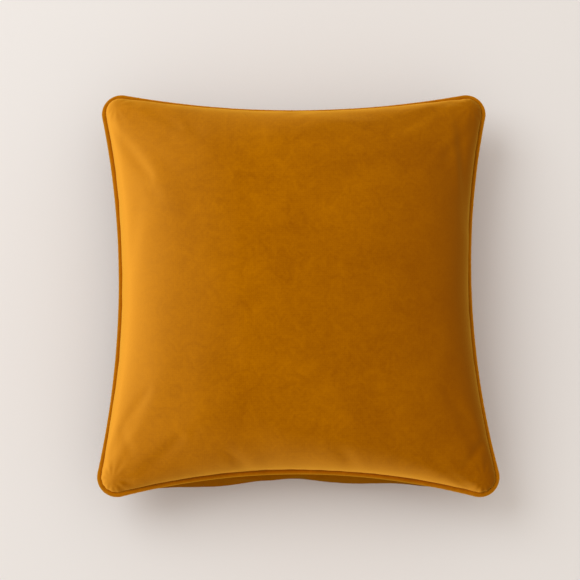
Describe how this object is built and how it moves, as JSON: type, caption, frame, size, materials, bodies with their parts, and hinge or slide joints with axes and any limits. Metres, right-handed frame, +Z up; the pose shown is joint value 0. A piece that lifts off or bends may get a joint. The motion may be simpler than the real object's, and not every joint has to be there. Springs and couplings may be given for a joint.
{
  "type": "throw pillow",
  "caption": "Square stuffed cushion with a piped velvet cover, a concealed zip along one side and a removable filled insert.",
  "frame": {"origin": "centre of the bounding box's bottom, on the surface that the pillow lies on", "axes": "+Z up through the front face, +Y towards the top edge, the zip along the -Y edge"},
  "size_m": [0.5004, 0.515, 0.165],
  "materials": {
    "velvet": "cotton velvet, short dense pile",
    "velvet_bias": "the same velvet cut on the bias and wrapped round a cord",
    "cotton_cord": "twisted soft cotton cord",
    "thread": "spun polyester sewing thread",
    "thread_white": "spun polyester sewing thread, undyed",
    "ticking": "plain cotton cambric",
    "fibre": "siliconised polyester fibre",
    "zip_tape": "woven polyester tape dyed to match",
    "zip_coil": "nylon monofilament",
    "zip_metal": "zinc casting, enamelled to match the tape",
    "label": "blank woven satin ribbon"
  },
  "bodies": {
    "cover": {"front_panel": "velvet", "back_panel": "velvet", "piping_sleeve": "velvet_bias", "piping_cord": "cotton_cord", "cover_seam_thread": "thread", "insert_front": "ticking", "insert_back": "ticking", "insert_filling": "fibre", "insert_seam_thread": "thread_white", "zip_tape_upper": "zip_tape", "zip_tape_lower": "zip_tape", "zip_coil_upper": "zip_coil", "zip_coil_lower": "zip_coil", "zip_thread_upper": "thread", "zip_thread_lower": "thread", "zip_top_stops": "zip_coil", "zip_bottom_stop": "zip_coil", "care_label": "label", "insert_label": "label"},
    "slider": {"zip_slider": "zip_metal"},
    "pull": {"zip_pull": "zip_metal"}
  },
  "joints": [
    {"name": "slider_travel", "type": "hinge", "parent": "cover", "child": "slider", "pos_m": [0.00175, -1.10154, 0.0666], "axis": [0, 0, 1], "range_deg": [0, 20.9]},
    {"name": "pull_swing", "type": "hinge", "parent": "slider", "child": "pull", "pos_m": [0.16166, -0.23961, 0.0666], "axis": [0, 0, 1], "range_deg": [0, 180]}
  ]
}
